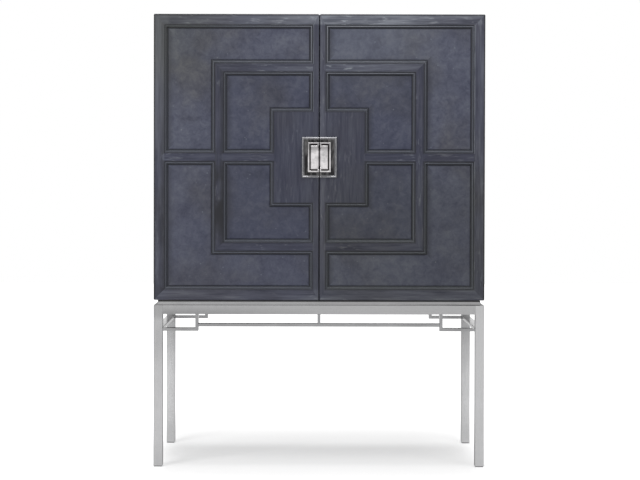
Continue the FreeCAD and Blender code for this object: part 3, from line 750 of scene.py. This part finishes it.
def edge_distance(x, z, xs, zs):
    """Distance from a point of the panel to the nearest edge of its L shape."""
    far = min(xs[2] - x, zs[2] - z)
    near_x = x - (xs[1] if z < zs[1] else xs[0])
    near_z = z - (zs[1] if x < xs[1] else zs[0])
    nearest = min(far, near_x, near_z)
    if x >= xs[1] and z >= zs[1]:
        notch = math.hypot(x - xs[1], z - zs[1])
        nearest = min(far, x - xs[0], z - zs[0], notch)
    return max(0.0, nearest)


def leather_height(x, z, away):
    """Height of the leather over the door core, by how far away its nearest edge is."""
    roll = min(1.0, away / ROLL)
    crown = CROWN * math.sin(math.pi / 2 * min(1.0, away / CROWN_REACH))
    waves = math.prod(math.sin(by_x * x + by_z * z) for by_x, by_z in RIPPLE_WAVES)
    ripple = RIPPLE * waves * min(1.0, away / RIPPLE_REACH)
    return LEATHER_THICK * math.sqrt(1 - (1 - roll) ** 2) + crown + ripple


def leather_panel(name, side, which, upper):
    """One skin, laid out above the middle of the right door and mirrored to its own place."""
    xs, zs = leather_outline(which)
    up = 1 if upper else -1
    mesh = bmesh.new()
    made = {}

    def corner(x, z):
        if (x, z) not in made:
            height = leather_height(x, z, edge_distance(x, z, xs, zs))
            made[x, z] = mesh.verts.new((SIDES[side] * x, CORE_Y - height, DOOR_MIDDLE + up * z))
        return made[x, z]

    columns, rows = grid_lines(xs), grid_lines(zs)
    for x0, x1 in zip(columns, columns[1:]):
        for z0, z1 in zip(rows, rows[1:]):
            if (x0 + x1) / 2 < xs[1] and (z0 + z1) / 2 < zs[1]:
                continue
            mesh.faces.new([corner(x0, z0), corner(x1, z0), corner(x1, z1), corner(x0, z1)])
    bmesh.ops.holes_fill(mesh, edges=[e for e in mesh.edges if e.is_boundary], sides=0)
    piece = add_piece(name, mesh, LEATHERS[which])
    for face in piece.data.polygons:
        face.use_smooth = len(face.vertices) == 4
    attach(piece, f"{side}_door")
    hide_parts(f"leather_{which}_{side}")


for side in SIDES:
    for which in PANEL_LINES:
        for upper in (True, False):
            level = "upper" if upper else "lower"
            leather_panel(f"leather_{which}_{level}_{side}_skin", side, which, upper)

# Screw heads of the hinges and the back panel, in metres. A screw is a radius and a height, and a
# ring of its head is an outline, its spread and how high it lies.
HINGE_SCREW, BACK_SCREW = (0.0034, 0.0011), (0.0036, 0.0009)
HINGE_FACE = 0.534
HINGE_HEIGHTS = (0.6125, 1.482)
LEAF_Y, LEAF_UP = (-0.206, -0.185), (-0.015, 0.015)
BACK_FACE = 0.2595
BACK_SIDES, BACK_BETWEEN = (-0.536, 0.536), (-0.268, 0.0, 0.268)
BACK_HEIGHTS = (0.5865, 0.8165, 1.0465, 1.2765, 1.5065)
CROSS_ARM, CROSS_HALF = 0.46, 0.13
HEAD_TURN = 0.7
HEAD_RINGS = (
    ("round", 1.0, 0.0),
    ("round", 1.0, 0.4),
    ("round", 0.86, 0.85),
    ("round", 0.64, 1.0),
    ("cross", 1.0, 1.0),
    ("cross", 0.5, 0.35),
)


def cross_outline(arm, half):
    """Corners of a driver's cross and the middle of each of its sides, for a head of radius 1."""
    corners = [(arm, half), (half, half), (half, arm)]
    for _ in range(3):
        corners += [(-y, x) for x, y in corners[-3:]]
    outline = []
    for (x0, y0), (x1, y1) in zip(corners, corners[1:] + corners[:1]):
        outline += [(x0, y0), ((x0 + x1) / 2, (y0 + y1) / 2)]
    return outline


def screw_heads(name, radius, height, out, places):
    """Domed heads with a cross recess, on a face that looks along out, in one mesh."""
    outline = cross_outline(CROSS_ARM, CROSS_HALF)
    mesh = bmesh.new()
    for number, place in enumerate(places):
        turn = Matrix.Rotation(HEAD_TURN * number, 3, "Z")
        facing = Vector(out).to_track_quat("Z", "Y").to_matrix() @ turn
        rings = []
        for shape, spread, up in HEAD_RINGS:
            ring = []
            for x, y in outline:
                scale = spread / math.hypot(x, y) if shape == "round" else spread
                point = Vector((x * scale * radius, y * scale * radius, up * height))
                ring.append(mesh.verts.new(Vector(place) + facing @ point))
            rings.append(ring)
        for low, high in zip(rings, rings[1:]):
            for i in range(len(outline)):
                mesh.faces.new((low[i - 1], low[i], high[i], high[i - 1]))
        mesh.faces.new(rings[0])
        mesh.faces.new(rings[-1])
    piece = add_piece(name, mesh, hinge_steel)
    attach(piece, "cabinet")


for side, across in SIDES.items():
    leaf = [
        (across * HINGE_FACE, y, z + up)
        for z in HINGE_HEIGHTS for y in LEAF_Y for up in LEAF_UP
    ]
    screw_heads(f"hinge_screws_{side}", *HINGE_SCREW, (-across, 0.0, 0.0), leaf)
ends = (BACK_HEIGHTS[0], BACK_HEIGHTS[-1])
panel = [(x, BACK_FACE, z) for x in BACK_SIDES for z in BACK_HEIGHTS]
panel += [(x, BACK_FACE, z) for x in BACK_BETWEEN for z in ends]
screw_heads("back_screws", *BACK_SCREW, (0.0, 1.0, 0.0), panel)

# Studio: white backdrop, pale floor, soft lamps
AMBIENT, BACKDROP = 0.3, 1.0
FLOOR_HALF = 9.0
FLOOR_CORNERS = ((-1, -1), (1, -1), (1, 1), (-1, 1))
FLOOR_ROUGHNESS = 0.9
FLOOR_GLOW, MIRRORED_GLOW = 0.4, 0.45
SHADE_ACROSS, SHADE_ALONG = (0.5, 0.7), (0.32, 1.3)


def seen_by(tree, *rays):
    """1 where a ray of one of these kinds meets the surface, else 0."""
    path = tree.nodes.new("ShaderNodeLightPath")
    result = path.outputs[rays[0]]
    for name in rays[1:]:
        either = tree.nodes.new("ShaderNodeMath")
        either.operation = "MAXIMUM"
        tree.links.new(result, either.inputs[0])
        tree.links.new(path.outputs[name], either.inputs[1])
        result = either.outputs[0]
    return result


def floor_material(name):
    """Pale and matt, glowing white away from the cabinet and less near it, which paints a wider
    shadow about its real one.
    """
    graph = Graph(name)
    x, y, _ = graph.axes
    drift = graph.noise(1.5, detail=2.0)
    tone = graph.ramp(drift, (0.3, srgb(226, 226, 226)), (0.7, srgb(230, 230, 230)))
    # Glow held lower near the cabinet: a painted shadow about the real one
    across = graph.span(graph.math("ABSOLUTE", x), *SHADE_ACROSS, FLOOR_GLOW, 1.0)
    along = graph.span(graph.math("ABSOLUTE", y), *SHADE_ALONG, FLOOR_GLOW, 1.0)
    shown = graph.product(seen_by(graph.tree, "Is Camera Ray"), graph.most(across, along))
    in_mirrors = seen_by(graph.tree, "Is Glossy Ray", "Is Transmission Ray")
    strength = graph.scaled(in_mirrors, MIRRORED_GLOW, shown)
    glow = graph.add("ShaderNodeEmission", {"Color": WHITE, "Strength": strength})
    both = graph.add("ShaderNodeAddShader", {0: graph.surface.outputs[0], 1: glow.outputs[0]})
    graph.feed(graph.tree.nodes["Material Output"].inputs["Surface"], both.outputs[0])
    return graph.finish(Base_Color=tone, Roughness=FLOOR_ROUGHNESS)


world = bpy.data.worlds.new("studio")
scene.world = world
world.use_nodes = True
tree = world.node_tree
soft = tree.nodes["Background"]
white = tree.nodes.new("ShaderNodeBackground")
for backdrop, strength in ((soft, AMBIENT), (white, BACKDROP)):
    backdrop.inputs["Color"].default_value = WHITE
    backdrop.inputs["Strength"].default_value = strength
choice = tree.nodes.new("ShaderNodeMixShader")
direct = seen_by(tree, "Is Camera Ray", "Is Glossy Ray", "Is Transmission Ray")
tree.links.new(direct, choice.inputs[0])
tree.links.new(soft.outputs[0], choice.inputs[1])
tree.links.new(white.outputs[0], choice.inputs[2])
tree.links.new(choice.outputs[0], tree.nodes["World Output"].inputs["Surface"])

floor_data = bpy.data.meshes.new("studio_floor")
floor_corners = [(FLOOR_HALF * x, FLOOR_HALF * y, 0.0) for x, y in FLOOR_CORNERS]
floor_data.from_pydata(floor_corners, [], [(0, 1, 2, 3)])
floor_data.materials.append(floor_material("studio_floor"))
floor = bpy.data.objects.new("studio_floor", floor_data)
scene.collection.objects.link(floor)


def lamp(name, place, aim, size, power):
    """A soft rectangular lamp, by where it stands and what it is turned to."""
    data = bpy.data.lights.new(name, "AREA")
    data.shape = "RECTANGLE"
    data.size, data.size_y = size
    data.energy = power
    made = bpy.data.objects.new(name, data)
    made.location = place
    made.rotation_euler = (Vector(aim) - Vector(place)).to_track_quat("-Z", "Y").to_euler()
    scene.collection.objects.link(made)


lamp("key", place=(-2.6, -3.2, 1.8), aim=(0.0, 0.0, 0.9), size=(1.8, 1.8), power=70.0)
lamp("top_light", place=(0.9, -1.2, 2.6), aim=(0.4, -0.25, 1.45), size=(1.2, 0.8), power=15.0)
lamp("overhead", place=(0.0, 0.2, 3.4), aim=(0.0, 0.2, 0.0), size=(2.2, 1.8), power=60.0)

# Camera, its focal length in pixels of the image, its turns in radians and its shift in widths
FOCAL_PIXELS, IMAGE_WIDTH = 1560.6, 640
SENSOR_WIDTH = 36.0
CAMERA_PLACE = (-0.02433, -5.5164, 0.97306)
CAMERA_TILT, CAMERA_ROLL = 0.01444, -0.0022
CAMERA_SHIFT = (0.0124, -0.0596)
camera_data = bpy.data.cameras.new("camera")
camera_data.sensor_width = SENSOR_WIDTH
camera_data.lens = FOCAL_PIXELS * SENSOR_WIDTH / IMAGE_WIDTH
camera_data.shift_x, camera_data.shift_y = CAMERA_SHIFT
camera = bpy.data.objects.new("camera", camera_data)
camera.location = CAMERA_PLACE
camera.rotation_euler = (math.pi / 2 - CAMERA_TILT, CAMERA_ROLL, 0.0)
scene.collection.objects.link(camera)
scene.camera = camera
scene.view_settings.view_transform = "Standard"
